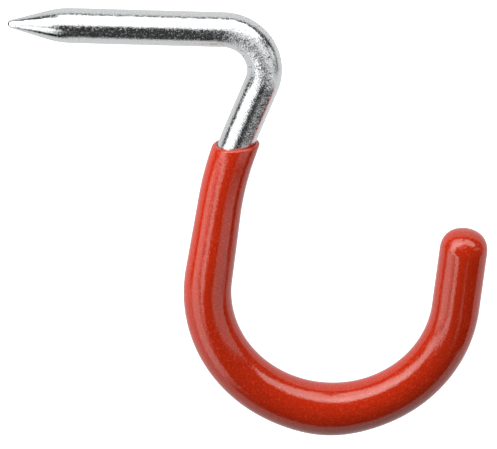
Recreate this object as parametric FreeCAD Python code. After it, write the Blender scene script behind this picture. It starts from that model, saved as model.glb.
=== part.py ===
"""Drive-in utility hook: a bent steel rod, pointed at one end and dipped in vinyl at the other.

The rod's centre line lies in the XZ plane. Its spike runs along X at Z = 0 and is driven into
a stud until the back of the vinyl sleeve bears on the stud's face, the plane X = 0. The origin
is where the spike's axis meets that face, +X points away from the stud and +Z points up.
Lengths are in millimetres and angles in degrees.
"""
import FreeCAD, Part
import math
import os
from collections import namedtuple

from FreeCAD import Placement, Rotation, Vector

# Rod, along its centre line from the spike to the cropped end inside the sleeve's tip
ROD_DIAMETER = 7.94
SPIKE_LENGTH = 48.4
CORNER_RADIUS = 9.53
CORNER_ANGLE = 110.5
NECK_LENGTH = 12.3
SET_RADIUS = 79.4
SET_ANGLE = 13.7
SHANK_LENGTH = 16.6
HOOK_RADIUS = 28.25
HOOK_ANGLE = 181.4
TIP_LENGTH = 16.0
CROP_CHAMFER = 0.8

# Point of the spike: a blunt nose, a cone and a shoulder that blends into the rod
NOSE_RADIUS = 0.95
POINT_HALF_ANGLE = 15.7
SHOULDER_RADIUS = 20.0

# Vinyl sleeve: its wall follows how the wet coat drained before it set
BARE_NECK = 15.25
DIP_LINE_TILT = 4.4
LIP_ROUND = 0.5
LIP_WALL = 1.08
SIDE_WALL = 1.48
LOW_WALL = 1.9
DRIP_BEAD = 0.45
DRIP_ANGLE = 16.0
TIP_COVER = 2.85
TIP_DOME = 5.05
DOME_FULLNESS = 0.9
SECTION_PITCH = 3.0

ROD_RADIUS = ROD_DIAMETER / 2
LIP_RADIUS = ROD_RADIUS + LIP_WALL
SIDE_RADIUS = ROD_RADIUS + SIDE_WALL
ACROSS = Vector(0, 1, 0)
ALONG = Vector(1, 0, 0)

# A stretch of the centre line: straight where turn is 0, else an arc, with turn positive upwards
Stretch = namedtuple("Stretch", "start heading length turn")


def direction(heading):
    """Unit vector in the hook's plane, with the heading in radians above +X."""
    return Vector(math.cos(heading), 0, math.sin(heading))


def point_on(stretch, distance):
    """Point and heading at a distance along a stretch."""
    half_turn = stretch.turn * distance / stretch.length / 2
    chord = distance * math.sin(half_turn) / half_turn if half_turn else distance
    point = stretch.start + direction(stretch.heading + half_turn) * chord
    return point, stretch.heading + 2 * half_turn


def arc_length(radius, turn):
    """Length of an arc whose turn is in degrees."""
    return radius * math.radians(abs(turn))


def centre_line():
    """Stretches from the end of the spike to the cropped end, placed against the stud's face."""
    runs = {
        "corner": (arc_length(CORNER_RADIUS, CORNER_ANGLE), -CORNER_ANGLE),
        "neck": (NECK_LENGTH, 0),
        "set": (arc_length(SET_RADIUS, SET_ANGLE), SET_ANGLE),
        "shank": (SHANK_LENGTH, 0),
        "hook": (arc_length(HOOK_RADIUS, HOOK_ANGLE), HOOK_ANGLE),
        "tip": (TIP_LENGTH, 0),
    }
    stretches = {}
    point, heading = Vector(), 0.0
    for name, (length, turn) in runs.items():
        stretches[name] = Stretch(point, heading, length, math.radians(turn))
        point, heading = point_on(stretches[name], length)
    hook = stretches["hook"]
    hook_centre = hook.start + direction(hook.heading + math.pi / 2) * HOOK_RADIUS
    back = hook_centre.x - HOOK_RADIUS - SIDE_RADIUS
    return {name: run._replace(start=run.start - ALONG * back) for name, run in stretches.items()}


def placed(shape, point, heading):
    """Shape moved from the origin to a point, with its X axis turned to a heading."""
    turn = Rotation(ACROSS, -math.degrees(heading))
    return shape.transformed(Placement(point, turn).toMatrix())


def round_section(radius):
    """Circle about the X axis, with its seam to the side of the hook's plane."""
    circle = Part.Circle(Vector(), ALONG, radius)
    circle.XAxis = ACROSS
    return Part.Wire(circle.toShape())


def revolved(curves):
    """Solid of a closed half profile in the XZ plane, turned about the X axis."""
    profile = Part.Wire([curve.toShape() for curve in curves])
    return Part.Face(profile).revolve(Vector(), ALONG, 360)


def spike(bend_start):
    """Pointed straight end of the rod, from the nose to the first bend."""
    angle = math.radians(POINT_HALF_ANGLE)
    nose_tip = Vector()
    nose_centre = ALONG * NOSE_RADIUS
    nose_end = nose_centre + direction(math.pi / 2 + angle) * NOSE_RADIUS
    nose_middle = nose_centre + direction(math.pi * 3 / 4 + angle / 2) * NOSE_RADIUS
    cone_rise = ROD_RADIUS - SHOULDER_RADIUS * (1 - math.cos(angle)) - nose_end.z
    cone_end = nose_end + Vector(cone_rise / math.tan(angle), 0, cone_rise)
    shoulder_centre = cone_end - direction(math.pi / 2 + angle) * SHOULDER_RADIUS
    shoulder_middle = shoulder_centre + direction(math.pi / 2 + angle / 2) * SHOULDER_RADIUS
    shoulder_end = shoulder_centre + direction(math.pi / 2) * SHOULDER_RADIUS
    far_rim = Vector(SPIKE_LENGTH, 0, ROD_RADIUS)
    far_axis = Vector(SPIKE_LENGTH, 0, 0)
    profile = [
        Part.Arc(nose_tip, nose_middle, nose_end),
        Part.LineSegment(nose_end, cone_end),
        Part.Arc(cone_end, shoulder_middle, shoulder_end),
        Part.LineSegment(shoulder_end, far_rim),
        Part.LineSegment(far_rim, far_axis),
        Part.LineSegment(far_axis, nose_tip),
    ]
    return placed(revolved(profile), bend_start - far_axis, 0)


def round_run(stretch, radius):
    """Round bar along one stretch: a cylinder where it is straight, part of a ring where it bends."""
    disc = placed(Part.Face(round_section(radius)), stretch.start, stretch.heading)
    if not stretch.turn:
        return disc.extrude(direction(stretch.heading) * stretch.length)
    side = math.copysign(1, stretch.turn)
    to_centre = direction(stretch.heading + side * math.pi / 2)
    centre = stretch.start + to_centre * (stretch.length / abs(stretch.turn))
    return disc.revolve(centre, ACROSS * -side, math.degrees(abs(stretch.turn)))


def steel_rod(line):
    """Whole rod, with the edge of its cropped end chamfered."""
    runs = [round_run(stretch, ROD_RADIUS) for stretch in line.values()]
    rod = spike(line["corner"].start).multiFuse(runs)
    cropped_end, _ = point_on(line["tip"], TIP_LENGTH)
    end_edge = min(rod.Edges, key=lambda edge: edge.CenterOfMass.distanceToPoint(cropped_end))
    return rod.makeChamfer(CROP_CHAMFER, [end_edge]).Solids[0]


def hook_coat(hook):
    """Coat round the hook: thickest where it runs level, with the last drip beaded underneath."""
    steps = math.ceil(hook.length / SECTION_PITCH)
    sections = []
    for step in range(steps + 1):
        point, heading = point_on(hook, hook.length * step / steps)
        drained = (LOW_WALL - SIDE_WALL) * math.sin(math.pi * step / steps) ** 2
        bead = DRIP_BEAD * math.exp(-((math.degrees(heading) / DRIP_ANGLE) ** 2))
        below = direction(heading - math.pi / 2) * (bead / 2)
        section = round_section(SIDE_RADIUS + drained + bead / 2)
        sections.append(placed(section, point + below, heading))
    return Part.makeLoft(sections, True)


def tip_coat(tip):
    """Coat round the straight tip, closed by a dome a little fuller than an ellipse."""
    crown = tip.length + TIP_COVER
    dome_start = crown - TIP_DOME
    rim = Vector(dome_start, 0, SIDE_RADIUS)
    quarter = Part.BezierCurve()
    quarter.setPoles([rim, Vector(crown, 0, SIDE_RADIUS), ALONG * crown])
    quarter.setWeight(2, DOME_FULLNESS)
    wall_start = Vector(0, 0, SIDE_RADIUS)
    profile = [
        Part.LineSegment(wall_start, rim),
        quarter,
        Part.LineSegment(ALONG * crown, Vector()),
        Part.LineSegment(Vector(), wall_start),
    ]
    return placed(revolved(profile), tip.start, tip.heading)


def dip_point(line):
    """Point of the centre line at the dip line, on the straight neck or on the set below it."""
    past_neck = BARE_NECK - NECK_LENGTH
    if past_neck < 0:
        return point_on(line["neck"], BARE_NECK)[0]
    return point_on(line["set"], past_neck)[0]


def undipped_space(lip_point):
    """Block over the dip line, tall enough to hold the whole neck."""
    reach = BARE_NECK + 2 * ROD_DIAMETER
    block = Part.makeBox(2 * reach, 2 * reach, reach, Vector(-reach, -reach, 0))
    return placed(block, lip_point, math.radians(DIP_LINE_TILT))


def vinyl_sleeve(line, rod):
    """Dipped coat over the hook, ending in a rounded lip at the dip line on the neck."""
    shank = line["shank"]
    neck_coat = round_run(line["neck"], LIP_RADIUS)
    set_coat = round_run(line["set"], LIP_RADIUS)
    shank_coat = Part.makeCone(LIP_RADIUS, SIDE_RADIUS, shank.length, shank.start, direction(shank.heading))
    runs = [set_coat, shank_coat, hook_coat(line["hook"]), tip_coat(line["tip"])]
    lip_point = dip_point(line)
    coat = neck_coat.multiFuse(runs).cut(undipped_space(lip_point))
    flat_faces = [face for face in coat.Faces if isinstance(face.Surface, Part.Plane)]
    lip_face = min(flat_faces, key=lambda face: face.CenterOfMass.distanceToPoint(lip_point))
    return coat.makeFillet(LIP_ROUND, lip_face.Edges).cut(rod).Solids[0]


CENTRE_LINE = centre_line()
STEEL_ROD = steel_rod(CENTRE_LINE)
VINYL_SLEEVE = vinyl_sleeve(CENTRE_LINE, STEEL_ROD)

os.makedirs("parts", exist_ok=True)
STEEL_ROD.exportStep("parts/steel_rod.step")
VINYL_SLEEVE.exportStep("parts/vinyl_sleeve.step")
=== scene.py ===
"""Drive-in utility hook: the bent zinc-plated rod and its dipped red vinyl coat.

Lengths are in metres and angles in degrees. The rod's centre line lies in the XZ plane, the spike
runs along X at Z = 0, and the stud's face is the plane X = 0.
"""

import math
from collections import namedtuple

import bmesh
import bpy
from mathutils import Matrix, Vector


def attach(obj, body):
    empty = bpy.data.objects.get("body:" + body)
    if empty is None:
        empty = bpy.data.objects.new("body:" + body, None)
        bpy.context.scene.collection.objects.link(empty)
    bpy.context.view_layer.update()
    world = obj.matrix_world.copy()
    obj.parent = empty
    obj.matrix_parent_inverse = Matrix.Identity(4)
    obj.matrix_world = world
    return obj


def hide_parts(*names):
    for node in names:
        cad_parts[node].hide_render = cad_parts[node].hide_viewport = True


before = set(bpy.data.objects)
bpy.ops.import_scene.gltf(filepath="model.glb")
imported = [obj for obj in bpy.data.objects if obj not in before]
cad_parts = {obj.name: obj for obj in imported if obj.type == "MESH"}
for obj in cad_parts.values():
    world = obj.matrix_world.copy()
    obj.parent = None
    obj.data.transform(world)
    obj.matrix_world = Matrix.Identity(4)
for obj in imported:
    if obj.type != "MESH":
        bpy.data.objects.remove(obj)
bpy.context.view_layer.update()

# Rod, along its centre line from the spike to the cropped end inside the coat
ROD_RADIUS = 0.00397
SPIKE_LENGTH = 0.0484
CORNER_RADIUS = 0.00953
CORNER_ANGLE = 110.5
NECK_LENGTH = 0.0123
SET_RADIUS = 0.0794
SET_ANGLE = 13.7
SHANK_LENGTH = 0.0166
HOOK_RADIUS = 0.02825
HOOK_ANGLE = 181.4
TIP_LENGTH = 0.016
CROP_CHAMFER = 0.0008

# Point of the spike
NOSE_RADIUS = 0.00095
POINT_HALF_ANGLE = 15.7
SHOULDER_RADIUS = 0.02

# Vinyl coat
BARE_NECK = 0.01525
DIP_LINE_TILT = 4.4
LIP_RADIUS = 0.00505
LIP_DEPTH = 0.0005
SIDE_RADIUS = 0.00545
DRAINED_WALL = 0.00042
DRIP_BEAD = 0.00045
DRIP_ANGLE = 16.0
TIP_COVER = 0.00285
TIP_DOME = 0.00505
DOME_FULLNESS = 0.9
BORE_CLEARANCE = 0.000015
BORE_RADIUS = ROD_RADIUS + BORE_CLEARANCE
# Depth below the top of the lip and radius, on the way down into the crevice between lip and rod
LIP_CREVICE = ((0.00002, 0.00418), (0.00012, 0.00406), (0.0004, BORE_RADIUS))
# Straight coat on each side of the dip line, out of which the oblique lip is cut
LIP_ROOM = 0.0042
ROD_SIDES = 96
COAT_SIDES = 96
# Rings drawn along each run of the centre line
ROD_RINGS = {"corner": 48, "neck": 10, "set": 8, "shank": 6, "hook": 72}
COAT_RINGS = {"set": 8, "shank": 12, "hook": 120}

# Zinc strained by the corner: distances from the corner's middle where the strain starts and is full,
# and distances from the hook's plane where the pressed sides start and are full
STRAIN_REACH = (0.0115, 0.006)
PRESSED_SIDE = (0.0029, 0.0036)

# View
VIEW_ELEVATION = 21.0
VIEW_ROLL = 1.56
VIEW_CENTRE = (0.01433, 0, -0.04662)
VIEW_WIDTH = 0.11238
VIEW_DISTANCE = 2.0

# Floor
FLOOR_MIDDLE = (0.0135, 0.65, -0.42)
FLOOR_SIZE = (2.4, 1.6)
FLOOR_GLOW = 0.95

# Light tent, in degrees off the view axis. The arch of softboxes lies between two circles, given as
# middle and radius, and runs from its right end round to its left end, with a dark seam in its roof.
ARCH_INNER = ((6, -21), 52)
ARCH_OUTER = ((-3, 6), 65)
ARCH_SOFT = 3.5
ARCH_ENDS = (23, 198)
ARCH_RADIANCE = 3.35
# Softness of the arch's two ends, in radians
ARCH_END_SOFT = 0.05
SEAM_HALF_WIDTH = 5
SEAM_SOFT = 3
SEAM_RISE = (56, 62)
Panel = namedtuple("Panel", "middle slant half_length half_width lean soft_end soft_side radiance")
TENT_PANELS = (
    Panel((-66.3, -45.6), -40, 37.5, 20.5, 0.28, 7, 1.5, radiance=1.95),
    Panel((-48.6, -20.6), -40, 36, 4.6, 0, 7, 1.2, radiance=3.0),
    Panel((72.8, -19.0), 52, 39.5, 26, -0.55, 2.5, 4, radiance=1.05),
)
PANEL_REACH = 87.5
PANEL_REACH_SOFT = 2
# The white sweep behind the hook rises between these angles, further out at the sides by the widening
# and as much nearer above and below
SWEEP_START = (90.5, 96.5)
SWEEP_WIDENING = 9.5
SWEEP_RISE = 0.05
SWEEP_RADIANCE = 0.82
TENT_DARK = 0.05
LEVEL = (0, 0, 0)

Run = namedtuple("Run", "start heading length turn")


def direction(heading):
    """Unit vector in the hook's plane, with the heading in radians above +X."""
    return Vector((math.cos(heading), 0, math.sin(heading)))


def point_on(run, distance):
    """Point and heading at a distance along a run of the centre line."""
    half_turn = run.turn * distance / run.length / 2
    chord = distance * math.sin(half_turn) / half_turn if half_turn else distance
    return run.start + direction(run.heading + half_turn) * chord, run.heading + 2 * half_turn


def centre_line():
    """Runs from the end of the spike to the cropped end, with the coat's back against the stud."""
    lengths_and_turns = {
        "corner": (CORNER_RADIUS * math.radians(CORNER_ANGLE), -CORNER_ANGLE),
        "neck": (NECK_LENGTH, 0),
        "set": (SET_RADIUS * math.radians(SET_ANGLE), SET_ANGLE),
        "shank": (SHANK_LENGTH, 0),
        "hook": (HOOK_RADIUS * math.radians(HOOK_ANGLE), HOOK_ANGLE),
        "tip": (TIP_LENGTH, 0),
    }
    runs = {}
    point = Vector()
    heading = 0.0
    for name, (length, turn) in lengths_and_turns.items():
        runs[name] = Run(point, heading, length, math.radians(turn))
        point, heading = point_on(runs[name], length)
    back = hook_centre(runs["hook"]).x - HOOK_RADIUS - SIDE_RADIUS
    shift = Vector((-back, 0, 0))
    return {name: run._replace(start=run.start + shift) for name, run in runs.items()}


def hook_centre(hook):
    """Centre of the U."""
    return hook.start + direction(hook.heading + math.pi / 2) * HOOK_RADIUS


LINE = centre_line()
U_CENTRE = hook_centre(LINE["hook"])


def ring(sides, radius, centre, heading):
    """Open ring of edges round the centre line, left selected."""
    turn = (0, math.pi / 2 - heading, 0)
    bpy.ops.mesh.primitive_circle_add(vertices=sides, radius=radius, location=centre, rotation=turn)


def new_piece(name, sides, radius, centre, heading):
    """New object in edit mode, holding one ring."""
    bpy.ops.object.select_all(action="DESELECT")
    ring(sides, radius, centre, heading)
    piece = bpy.context.object
    piece.name = name
    piece.data.name = name
    bpy.ops.object.transform_apply(location=True, rotation=True, scale=True)
    bpy.ops.object.mode_set(mode="EDIT")
    bpy.ops.mesh.select_all(action="SELECT")
    return piece


def draw_out(step, scale=1.0, centre=None):
    """Extrudes the selected ring by a step and scales it about its new centre."""
    bpy.ops.mesh.extrude_region_move(TRANSFORM_OT_translate={"value": step})
    if scale != 1.0:
        bpy.ops.transform.resize(value=(scale, scale, scale), center_override=centre)


def draw_profile(origin, heading, profile):
    """Draws the selected ring, the first of the profile, through its rings of distance and radius."""
    axis = direction(heading)
    for (before, old_radius), (after, new_radius) in zip(profile, profile[1:]):
        draw_out(axis * (after - before), new_radius / old_radius, origin + axis * after)


def draw_along(run, steps, scale=1.0):
    """Carries the selected ring along a run: straight extrusions, or a spin where it bends."""
    if not run.turn:
        stride = direction(run.heading) * (run.length / steps)
        for step in range(1, steps + 1):
            before = 1 + (scale - 1) * (step - 1) / steps
            after = 1 + (scale - 1) * step / steps
            draw_out(stride, after / before, run.start + stride * step)
        return
    side = math.copysign(1, run.turn)
    centre = run.start + direction(run.heading + side * math.pi / 2) * (run.length / abs(run.turn))
    bpy.ops.mesh.spin(steps=steps, angle=abs(run.turn), center=centre, axis=(0, side, 0))


def cap(push=None):
    """Closes the selected ring with a fan of faces, its middle pushed out to round the end."""
    bpy.ops.mesh.edge_face_add()
    bpy.ops.mesh.poke()
    if push is None:
        return
    mesh = bmesh.from_edit_mesh(bpy.context.object.data)
    bpy.ops.mesh.select_mode(type="VERT")
    for vertex in mesh.verts:
        vertex.select = vertex.select and len(vertex.link_faces) == len(vertex.link_edges) > 8
    mesh.select_flush_mode()
    bmesh.update_edit_mesh(bpy.context.object.data)
    bpy.ops.transform.translate(value=push)


def select_ring(centre, heading, radius):
    """Selects, on top of what is selected, the ring at a place on the centre line."""
    mesh = bmesh.from_edit_mesh(bpy.context.object.data)
    axis = direction(heading)
    for vertex in mesh.verts:
        out = vertex.co - centre
        along = out.dot(axis)
        if abs(along) < 1e-6 and abs((out - axis * along).length - radius) < 1e-6:
            vertex.select = True
    mesh.select_flush_mode()
    bmesh.update_edit_mesh(bpy.context.object.data)


def finish_mesh(angle):
    """Leaves edit mode with doubles merged, faces outwards and smooth shading."""
    bpy.ops.mesh.select_all(action="SELECT")
    bpy.ops.mesh.remove_doubles(threshold=1e-7)
    bpy.ops.mesh.normals_make_consistent(inside=False)
    bpy.ops.object.mode_set(mode="OBJECT")
    bpy.ops.object.shade_smooth_by_angle(angle=math.radians(angle))


def point_profile():
    """Rings of the spike from the nose to the bend: blunt nose, cone and blended shoulder."""
    slope = math.radians(POINT_HALF_ANGLE)
    profile = []
    for share in (0.16, 0.34, 0.54, 0.76, 1.0):
        polar = share * (math.pi / 2 - slope)
        profile.append((NOSE_RADIUS * (1 - math.cos(polar)), NOSE_RADIUS * math.sin(polar)))
    nose_end, nose_rim = profile[-1]
    cone_rim = ROD_RADIUS - SHOULDER_RADIUS * (1 - math.cos(slope))
    cone_length = (cone_rim - nose_rim) / math.tan(slope)
    for share in (0.25, 0.5, 0.75, 1.0):
        profile.append((nose_end + cone_length * share, nose_rim + (cone_rim - nose_rim) * share))
    shoulder_end = nose_end + cone_length + SHOULDER_RADIUS * math.sin(slope)
    for share in (0.8, 0.6, 0.4, 0.2, 0.0):
        angle = slope * share
        along = shoulder_end - SHOULDER_RADIUS * math.sin(angle)
        profile.append((along, ROD_RADIUS - SHOULDER_RADIUS * (1 - math.cos(angle))))
    straight = SPIKE_LENGTH - shoulder_end
    for share in range(1, 21):
        profile.append((shoulder_end + straight * share / 20, ROD_RADIUS))
    return profile


def make_rod():
    """Whole rod: pointed spike, tight corner, neck, set, shank, U and cropped end."""
    nose = LINE["corner"].start - direction(0) * SPIKE_LENGTH
    profile = point_profile()
    first, radius = profile[0]
    piece = new_piece("zinc_plated_rod", ROD_SIDES, radius, nose + direction(0) * first, 0)
    draw_profile(nose, 0, profile)
    for name, rings in ROD_RINGS.items():
        draw_along(LINE[name], rings)
    tip = LINE["tip"]
    shoulder = TIP_LENGTH - CROP_CHAMFER
    end = [(0, ROD_RADIUS), (shoulder / 2, ROD_RADIUS), (shoulder, ROD_RADIUS)]
    end.append((TIP_LENGTH, ROD_RADIUS - CROP_CHAMFER))
    draw_profile(tip.start, tip.heading, end)
    cap()
    bpy.ops.mesh.select_all(action="DESELECT")
    select_ring(nose + direction(0) * first, 0, radius)
    cap(direction(0) * -first)
    finish_mesh(35)
    return piece


def dome_profile():
    """Rings of the coat's tip: straight wall, then a quarter of a full, rounded conic."""
    crown = TIP_LENGTH + TIP_COVER
    dome_start = crown - TIP_DOME
    profile = [(dome_start * share / 8, SIDE_RADIUS) for share in range(9)]
    for step in range(1, 13):
        share = step / 13
        wall = (1 - share) ** 2
        shoulder = 2 * DOME_FULLNESS * share * (1 - share)
        top = share ** 2
        whole = wall + shoulder + top
        along = dome_start + TIP_DOME * (shoulder + top) / whole
        profile.append((along, SIDE_RADIUS * (wall + shoulder) / whole))
    return profile


def lip_profile(oblique):
    """Rings of the rolled lip, from its outside over the top and down into the crevice at the rod."""
    profile = [(0, LIP_RADIUS)]
    for turn in (15, 30, 45, 60, 75, 90):
        angle = math.radians(turn)
        rise = LIP_DEPTH * math.sin(angle)
        profile.append((-rise / oblique, LIP_RADIUS - LIP_DEPTH * (1 - math.cos(angle))))
    for depth, radius in LIP_CREVICE:
        profile.append((-(LIP_DEPTH - depth) / oblique, radius))
    return profile


def make_coat():
    """Dipped coat: rolled lip, true bore over the rod, drained wall, drip bead and domed tip."""
    set_run = LINE["set"]
    tip = LINE["tip"]
    lip, _ = point_on(set_run, BARE_NECK - NECK_LENGTH)
    below_distance = BARE_NECK - NECK_LENGTH + LIP_ROOM
    below, below_heading = point_on(set_run, below_distance)
    axis = (below - lip).normalized()
    axis_heading = math.atan2(axis.z, axis.x)
    above = lip - axis * LIP_ROOM
    left = 1 - below_distance / set_run.length
    rest_of_set = Run(below, below_heading, set_run.length * left, set_run.turn * left)

    piece = new_piece("dipped_vinyl_coat", COAT_SIDES, LIP_RADIUS, above, axis_heading)
    draw_out(below - above)
    bpy.ops.transform.rotate(value=below_heading - axis_heading, orient_axis="Y", center_override=below)
    draw_along(rest_of_set, COAT_RINGS["set"])
    draw_along(LINE["shank"], COAT_RINGS["shank"], SIDE_RADIUS / LIP_RADIUS)
    draw_along(LINE["hook"], COAT_RINGS["hook"])
    profile = dome_profile()
    draw_profile(tip.start, tip.heading, profile)
    cap(direction(tip.heading) * (TIP_LENGTH + TIP_COVER - profile[-1][0]))

    bpy.ops.mesh.select_all(action="DESELECT")
    select_ring(above, axis_heading, LIP_RADIUS)
    select_ring(below, below_heading, LIP_RADIUS)
    dip_normal = direction(math.radians(DIP_LINE_TILT) + math.pi / 2)
    oblique = -axis.dot(dip_normal)
    lip_start = lip + axis * (LIP_DEPTH / oblique)
    bpy.ops.mesh.bisect(plane_co=lip_start, plane_no=dip_normal, clear_outer=True)
    draw_profile(lip_start, axis_heading, lip_profile(oblique))

    bpy.ops.mesh.select_all(action="DESELECT")
    ring(COAT_SIDES, BORE_RADIUS, below, below_heading)
    draw_along(rest_of_set, ROD_RINGS["set"])
    draw_along(LINE["shank"], ROD_RINGS["shank"])
    draw_along(LINE["hook"], ROD_RINGS["hook"])
    bore_end = [(0, BORE_RADIUS), (TIP_LENGTH / 2, BORE_RADIUS), (TIP_LENGTH, BORE_RADIUS)]
    draw_profile(tip.start, tip.heading, bore_end)
    cap()
    bpy.ops.mesh.select_all(action="DESELECT")
    bpy.ops.mesh.select_non_manifold(extend=False, use_wire=False, use_boundary=True,
                                     use_multi_face=False, use_non_contiguous=False, use_verts=False)
    bpy.ops.mesh.bridge_edge_loops(number_cuts=3, interpolation="LINEAR")
    finish_mesh(50)
    drain_coat(piece)
    return piece


def share_round_hook(place):
    """Share of the U passed on the way to a place, from 0 to 1, and its distance from the rod's line."""
    out = place - U_CENTRE
    flat = Vector((out.x, 0, out.z))
    swept = math.atan2(out.z, out.x) + math.pi / 2 - LINE["hook"].heading
    share = min(max(swept / LINE["hook"].turn, 0), 1)
    return share, math.hypot(flat.length - HOOK_RADIUS, out.y)


def drain_coat(piece):
    """Thickens the wall where the wet coat drained to, and hangs the last drip under the U."""
    wall = piece.vertex_groups.new(name="drained wall")
    bead = piece.vertex_groups.new(name="drip bead")
    hook = LINE["hook"]
    for vertex in piece.data.vertices:
        if vertex.co.z > U_CENTRE.z:
            continue
        share, depth = share_round_hook(vertex.co)
        if depth < (ROD_RADIUS + LIP_RADIUS) / 2:
            continue
        wall.add([vertex.index], math.sin(math.pi * share) ** 2, "REPLACE")
        heading = math.degrees(hook.heading + hook.turn * share)
        out = vertex.co - U_CENTRE
        under = (math.hypot(out.x, out.z) - HOOK_RADIUS) / depth
        weight = math.exp(-((heading / DRIP_ANGLE) ** 2)) * (1 + under) / 2
        bead.add([vertex.index], weight, "REPLACE")
    for name, thickness in (("drained wall", DRAINED_WALL), ("drip bead", DRIP_BEAD)):
        push = piece.modifiers.new(name, "DISPLACE")
        push.mid_level = 0
        push.strength = thickness
        push.vertex_group = name
    for name in ("drained wall", "drip bead"):
        bpy.ops.object.modifier_apply(modifier=name)


class Sums:
    """Arithmetic in a node tree, written as calls on plain numbers and sockets."""

    def __init__(self, tree):
        self.tree = tree

    def math(self, operation, *values):
        """Result of one Math node."""
        node = self.tree.nodes.new("ShaderNodeMath")
        node.operation = operation
        for socket, value in zip(node.inputs, values):
            if isinstance(value, (int, float)):
                socket.default_value = value
            else:
                self.tree.links.new(value, socket)
        return node.outputs["Value"]

    def dot(self, vector, axis):
        """Component of a vector along an axis."""
        node = self.tree.nodes.new("ShaderNodeVectorMath")
        node.operation = "DOT_PRODUCT"
        self.tree.links.new(vector, node.inputs[0])
        node.inputs[1].default_value = axis
        return node.outputs["Value"]

    def away(self, place, centre):
        """Distance of a place in space from a centre."""
        node = self.tree.nodes.new("ShaderNodeVectorMath")
        node.operation = "DISTANCE"
        self.tree.links.new(place, node.inputs[0])
        node.inputs[1].default_value = centre
        return node.outputs["Value"]

    def turned(self, first, second, angle):
        """First of a pair of coordinates after their axes turn by an angle."""
        share = self.math("MULTIPLY", second, math.sin(angle))
        return self.math("MULTIPLY_ADD", first, math.cos(angle), share)

    def distance(self, across, above, middle):
        """Distance of a place from a middle."""
        wide = self.math("SUBTRACT", across, middle[0])
        high = self.math("SUBTRACT", above, middle[1])
        squares = self.math("MULTIPLY_ADD", wide, wide, self.math("MULTIPLY", high, high))
        return self.math("SQRT", squares)

    def ramp(self, value, start, end, low=0.0, high=1.0):
        """Smooth step from low at the start to high at the end."""
        node = self.tree.nodes.new("ShaderNodeMapRange")
        node.interpolation_type = "SMOOTHSTEP"
        self.tree.links.new(value, node.inputs["Value"])
        for name, number in (("From Min", start), ("From Max", end), ("To Min", low), ("To Max", high)):
            node.inputs[name].default_value = number
        return node.outputs["Result"]

    def band(self, value, start, end, soft):
        """One between the start and the end, with soft edges."""
        rise = self.ramp(value, start - soft, start + soft)
        fall = self.ramp(value, end + soft, end - soft)
        return self.math("MULTIPLY", rise, fall)


def material(name):
    """New node material: its tree and its shader."""
    made = bpy.data.materials.new(name)
    made.use_nodes = True
    tree = made.node_tree
    shader = tree.nodes["Principled BSDF"]
    return made, tree, shader


def noise(tree, place, scale, detail, roughness=0.5):
    """Noise texture over the piece, with the scale in features per metre."""
    node = tree.nodes.new("ShaderNodeTexNoise")
    node.inputs["Scale"].default_value = scale
    node.inputs["Detail"].default_value = detail
    node.inputs["Roughness"].default_value = roughness
    tree.links.new(place.outputs["Object"], node.inputs["Vector"])
    return node.outputs["Fac"]


def tones(tree, value, *stops):
    """Colour ramp of a value, its stops given as position and colour."""
    ramp = tree.nodes.new("ShaderNodeValToRGB")
    elements = ramp.color_ramp.elements
    while len(elements) < len(stops):
        elements.new(0.5)
    for element, (position, colour) in zip(elements, stops):
        element.position = position
        element.color = (*colour, 1)
    tree.links.new(value, ramp.inputs["Fac"])
    return ramp.outputs["Color"]


def bump(tree, height, distance, below=None):
    """Bump of a height, in metres, over the bump below it."""
    node = tree.nodes.new("ShaderNodeBump")
    node.inputs["Strength"].default_value = 1.0
    node.inputs["Distance"].default_value = distance
    tree.links.new(height, node.inputs["Height"])
    if below:
        tree.links.new(below, node.inputs["Normal"])
    return node.outputs["Normal"]


def corner_middle():
    """Point of the centre line half way round the corner."""
    return point_on(LINE["corner"], LINE["corner"].length / 2)[0]


def zinc_finish():
    """Bright zinc plating: clouded polish and dull specks, pitted where the corner strained it and
    puckered where the bending tool pressed on its two sides."""
    made, tree, shader = material("bright_zinc_plating")
    link = tree.links.new
    sums = Sums(tree)
    shader.inputs["Metallic"].default_value = 1.0
    place = tree.nodes.new("ShaderNodeTexCoord")
    specks = noise(tree, place, 2000, 4, 0.75)
    pits = noise(tree, place, 1500, 3, 0.8)
    rolling = noise(tree, place, 700, 3, 0.6)
    puckers = noise(tree, place, 1200, 3, 0.6)
    cloud = noise(tree, place, 140, 4)
    strained = sums.ramp(sums.away(place.outputs["Object"], corner_middle()), *STRAIN_REACH)
    side = sums.math("ABSOLUTE", sums.dot(place.outputs["Object"], (0, 1, 0)))
    pressed = sums.math("MULTIPLY", strained, sums.ramp(side, *PRESSED_SIDE))

    dull = sums.ramp(specks, 0.51, 0.62)
    pitted = sums.ramp(sums.math("MULTIPLY_ADD", strained, 0.075, pits), 0.66, 0.71)
    colour = tones(tree, pitted, (0.0, (0.71, 0.725, 0.735)), (1.0, (0.07, 0.066, 0.055)))
    link(colour, shader.inputs["Base Color"])
    polish = sums.math("MULTIPLY_ADD", cloud, 0.10, 0.01)
    polish = sums.math("MULTIPLY_ADD", pressed, 0.2, polish)
    link(sums.math("MULTIPLY_ADD", dull, 0.34, polish), shader.inputs["Roughness"])
    broad = bump(tree, rolling, 0.00005)
    broad = bump(tree, sums.math("MULTIPLY", puckers, pressed), 0.0003, broad)
    link(bump(tree, specks, 0.00004, broad), shader.inputs["Normal"])
    return made


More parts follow.
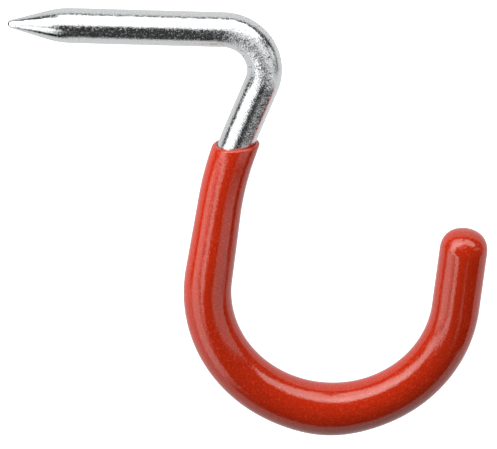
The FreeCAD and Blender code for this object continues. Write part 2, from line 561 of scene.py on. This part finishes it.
def vinyl_finish():
    """Glossy dipped vinyl: deep red, faintly mottled, with orange peel and specks of dust."""
    made, tree, shader = material("dipped_red_vinyl")
    link = tree.links.new
    sums = Sums(tree)
    shader.inputs["IOR"].default_value = 1.58
    shader.inputs["Specular Tint"].default_value = (1.0, 0.97, 0.9, 1.0)
    place = tree.nodes.new("ShaderNodeTexCoord")
    mottle = noise(tree, place, 260, 4)
    dust = noise(tree, place, 2400, 3, 0.6)
    peel = noise(tree, place, 1700, 3)

    colour = tones(tree, dust, (0.38, (0.28, 0.0125, 0.0015)), (0.58, (0.36, 0.0165, 0.0022)),
                   (0.76, (0.45, 0.05, 0.033)))
    link(colour, shader.inputs["Base Color"])
    polish = sums.math("MULTIPLY_ADD", mottle, 0.10, 0.03)
    dusty = sums.ramp(dust, 0.58, 0.74)
    link(sums.math("MULTIPLY_ADD", dusty, 0.16, polish), shader.inputs["Roughness"])
    link(bump(tree, peel, 0.00004), shader.inputs["Normal"])
    return made


def softbox(name, size, spot, aim, radiance, mirrored):
    """Rectangular softbox facing a point, hidden from the camera, with its brightness as radiance."""
    lamp = bpy.data.lights.new(name, "AREA")
    lamp.shape = "RECTANGLE"
    lamp.size, lamp.size_y = size
    lamp.energy = radiance * math.pi * size[0] * size[1]
    box = bpy.data.objects.new(name, lamp)
    box.location = spot
    box.rotation_euler = (Vector(aim) - Vector(spot)).to_track_quat("-Z", "Y").to_euler()
    box.visible_camera = False
    box.visible_glossy = mirrored
    bpy.context.collection.objects.link(box)


def tent_light(sums, ray):
    """Radiance of the light tent: an arch of softboxes over the camera with a seam in its roof, a panel
    and a strip low on the left, a panel low on the right, a white sweep behind the hook and a dark
    opening round the camera. Places in it are in degrees off the camera's direction, to the right and
    up."""
    rise = math.radians(VIEW_ELEVATION)
    toward = sums.dot(ray, (0, -math.cos(rise), math.sin(rise)))
    up = sums.dot(ray, (0, math.sin(rise), math.cos(rise)))
    right = sums.dot(ray, (1, 0, 0))
    off_axis = sums.math("DEGREES", sums.math("ARCCOSINE", toward))
    round_axis = sums.math("ARCTAN2", up, right)
    across = sums.math("MULTIPLY", off_axis, sums.math("COSINE", round_axis))
    above = sums.math("MULTIPLY", off_axis, sums.math("SINE", round_axis))

    ends = [math.radians(end) for end in ARCH_ENDS]
    swing = sums.math("SUBTRACT", round_axis, sum(ends) / 2)
    swing = sums.math("ABSOLUTE", sums.math("WRAP", swing, math.pi, -math.pi))
    half_arch = (ends[1] - ends[0]) / 2
    arch = sums.ramp(swing, half_arch + ARCH_END_SOFT, half_arch - ARCH_END_SOFT)
    for (middle, radius), soft in ((ARCH_INNER, ARCH_SOFT), (ARCH_OUTER, -ARCH_SOFT)):
        reach = sums.distance(across, above, middle)
        arch = sums.math("MULTIPLY", arch, sums.ramp(reach, radius - soft, radius + soft))
    seam = sums.band(across, -SEAM_HALF_WIDTH, SEAM_HALF_WIDTH, SEAM_SOFT)
    seam = sums.math("MULTIPLY", seam, sums.ramp(above, *SEAM_RISE))
    arch = sums.math("MULTIPLY", arch, sums.math("SUBTRACT", 1.0, seam))
    total = sums.math("MULTIPLY", arch, ARCH_RADIANCE)

    within = sums.ramp(off_axis, PANEL_REACH + PANEL_REACH_SOFT, PANEL_REACH - PANEL_REACH_SOFT)
    for panel in TENT_PANELS:
        turn = math.radians(panel.slant)
        off_across = sums.math("SUBTRACT", across, panel.middle[0])
        off_above = sums.math("SUBTRACT", above, panel.middle[1])
        aside = sums.turned(off_above, off_across, -turn)
        along = sums.turned(off_across, off_above, turn)
        along = sums.math("MULTIPLY_ADD", aside, -panel.lean, along)
        lengthwise = sums.band(along, -panel.half_length, panel.half_length, panel.soft_end)
        crosswise = sums.band(aside, -panel.half_width, panel.half_width, panel.soft_side)
        inside = sums.math("MULTIPLY", sums.math("MULTIPLY", lengthwise, crosswise), within)
        total = sums.math("MAXIMUM", total, sums.math("MULTIPLY", inside, panel.radiance))

    wide = sums.math("COSINE", sums.math("MULTIPLY", round_axis, 2.0))
    sweep_edge = sums.math("MULTIPLY_ADD", wide, -SWEEP_WIDENING, off_axis)
    sweep = sums.ramp(sweep_edge, *SWEEP_START, TENT_DARK, SWEEP_RADIANCE)
    brighter_above = sums.math("MULTIPLY_ADD", up, SWEEP_RISE, 1.0)
    return sums.math("ADD", total, sums.math("MULTIPLY", sweep, brighter_above))


def studio_world():
    """White backdrop for the camera, and the light tent for all that the hook sees."""
    world = bpy.data.worlds.new("light_tent")
    bpy.context.scene.world = world
    world.use_nodes = True
    tree = world.node_tree
    nodes = tree.nodes
    link = tree.links.new
    nodes.clear()
    out = nodes.new("ShaderNodeOutputWorld")
    path = nodes.new("ShaderNodeLightPath")
    place = nodes.new("ShaderNodeTexCoord")
    tent = nodes.new("ShaderNodeBackground")
    link(tent_light(Sums(tree), place.outputs["Generated"]), tent.inputs["Strength"])
    backdrop = nodes.new("ShaderNodeBackground")
    mix = nodes.new("ShaderNodeMixShader")
    for background in (tent, backdrop):
        background.inputs["Color"].default_value = (1, 1, 1, 1)
    link(path.outputs["Is Camera Ray"], mix.inputs["Fac"])
    link(tent.outputs["Background"], mix.inputs[1])
    link(backdrop.outputs["Background"], mix.inputs[2])
    link(mix.outputs["Shader"], out.inputs["Surface"])


def studio_floor():
    """Pale floor under the hook: white to the camera, with the hook's soft shadow kept."""
    bpy.ops.object.select_all(action="DESELECT")
    bpy.ops.mesh.primitive_plane_add(size=1, location=FLOOR_MIDDLE)
    floor = bpy.context.object
    floor.name = "studio_floor"
    floor.scale = (*FLOOR_SIZE, 1)
    bpy.ops.object.transform_apply(location=True, rotation=True, scale=True)
    made, tree, shader = material("pale_floor")
    nodes = tree.nodes
    link = tree.links.new
    shader.inputs["Base Color"].default_value = (0.45, 0.45, 0.45, 1)
    shader.inputs["Roughness"].default_value = 0.9
    shader.inputs["Specular IOR Level"].default_value = 0.0
    glow = nodes.new("ShaderNodeEmission")
    reflected = nodes.new("ShaderNodeEmission")
    reflected.inputs["Strength"].default_value = SWEEP_RADIANCE
    path = nodes.new("ShaderNodeLightPath")
    sums = Sums(tree)
    link(sums.math("MULTIPLY", path.outputs["Is Camera Ray"], FLOOR_GLOW), glow.inputs["Strength"])
    lit = nodes.new("ShaderNodeAddShader")
    link(shader.outputs["BSDF"], lit.inputs[0])
    link(glow.outputs["Emission"], lit.inputs[1])
    mix = nodes.new("ShaderNodeMixShader")
    mirrored = sums.math("MAXIMUM", path.outputs["Is Glossy Ray"], path.outputs["Is Transmission Ray"])
    link(mirrored, mix.inputs["Fac"])
    link(lit.outputs["Shader"], mix.inputs[1])
    link(reflected.outputs["Emission"], mix.inputs[2])
    link(mix.outputs["Shader"], nodes["Material Output"].inputs["Surface"])
    floor.data.materials.append(made)


def card_finish():
    """Dead black of the cards."""
    made, _, shader = material("black_card")
    shader.inputs["Base Color"].default_value = (0.01, 0.01, 0.01, 1)
    shader.inputs["Roughness"].default_value = 0.9
    shader.inputs["Specular IOR Level"].default_value = 0.0
    return made


def flag(name, finish, size, spot, turn, mirrored):
    """Black card turned from level, out of the camera's sight: only seen in mirrors, or only shading."""
    bpy.ops.object.select_all(action="DESELECT")
    turn = [math.radians(angle) for angle in turn]
    bpy.ops.mesh.primitive_plane_add(size=1, location=spot, rotation=turn)
    card = bpy.context.object
    card.name = name
    card.scale = (*size, 1)
    bpy.ops.object.transform_apply(location=True, rotation=True, scale=True)
    card.data.materials.append(finish)
    card.visible_camera = False
    card.visible_glossy = mirrored
    card.visible_diffuse = not mirrored
    card.visible_shadow = not mirrored


def camera():
    """Long lens a little above the hook, rolled as it was held."""
    lens = bpy.data.cameras.new("camera")
    lens.sensor_fit = "HORIZONTAL"
    lens.sensor_width = 36
    lens.lens = lens.sensor_width * VIEW_DISTANCE / VIEW_WIDTH
    lens.clip_end = 20
    held = bpy.data.objects.new("camera", lens)
    bpy.context.collection.objects.link(held)
    rise = math.radians(VIEW_ELEVATION)
    away = Vector((0, -math.cos(rise), math.sin(rise)))
    tilt = Matrix.Rotation(math.pi / 2 - rise, 4, "X")
    roll = Matrix.Rotation(math.radians(VIEW_ROLL), 4, "Z")
    held.matrix_world = Matrix.Translation(Vector(VIEW_CENTRE) + away * VIEW_DISTANCE) @ tilt @ roll
    bpy.context.scene.camera = held


rod = make_rod()
coat = make_coat()
rod.data.materials.append(zinc_finish())
coat.data.materials.append(vinyl_finish())
for piece, node, slot in ((rod, "steel_rod", "plated_steel"), (coat, "vinyl_sleeve", "red_vinyl")):
    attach(piece, "root")
    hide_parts(node)

camera()
studio_world()
studio_floor()

# One card shades the U's front from below; the others draw dark edges on the point and the tip
black = card_finish()
flag("hook_flag", black, (0.22, 0.15), (U_CENTRE.x, -0.10, -0.125), LEVEL, False)
flag("low_point_flag", black, (0.022, 0.015), (-0.041, -0.016, -0.022), LEVEL, True)
flag("high_point_flag", black, (0.021, 0.009), (-0.0465, -0.005, 0.027), LEVEL, True)
flag("nose_flag", black, (0.012, 0.009), (-0.049, 0, 0), (0, 90, 0), True)
flag("tip_flag", black, (0.037, 0.0155), (0.0738, -0.01125, -0.0665), (0, 90, -29.4), True)

# Softboxes that the steel mirrors, then fills that no reflection shows
softbox("spike_softbox", (0.20, 0.117), (-0.07, -0.1185, 0.105), (-0.07, -0.0035, 0.041), 1.6, True)
softbox("corner_softbox", (0.06, 0.06), (0.0424, -0.0606, 0.012), (0.016, -0.004, -0.006), 0.85, True)
softbox("point_softbox", (0.07, 0.05), (-0.135, -0.145, 0.033), (-0.035, 0, 0), 1.6, True)
softbox("left_fill", (0.12, 0.12), (-0.16, -0.06, -0.02), (0.01, 0, -0.06), 5.0, False)
softbox("right_fill", (0.12, 0.12), (0.20, -0.06, 0.0), (0.03, 0, -0.05), 2.2, False)
softbox("shank_fill", (0.10, 0.10), (-0.12, -0.14, 0.06), (0.0, 0, -0.055), 3.0, False)
bpy.context.scene.view_settings.view_transform = "Standard"
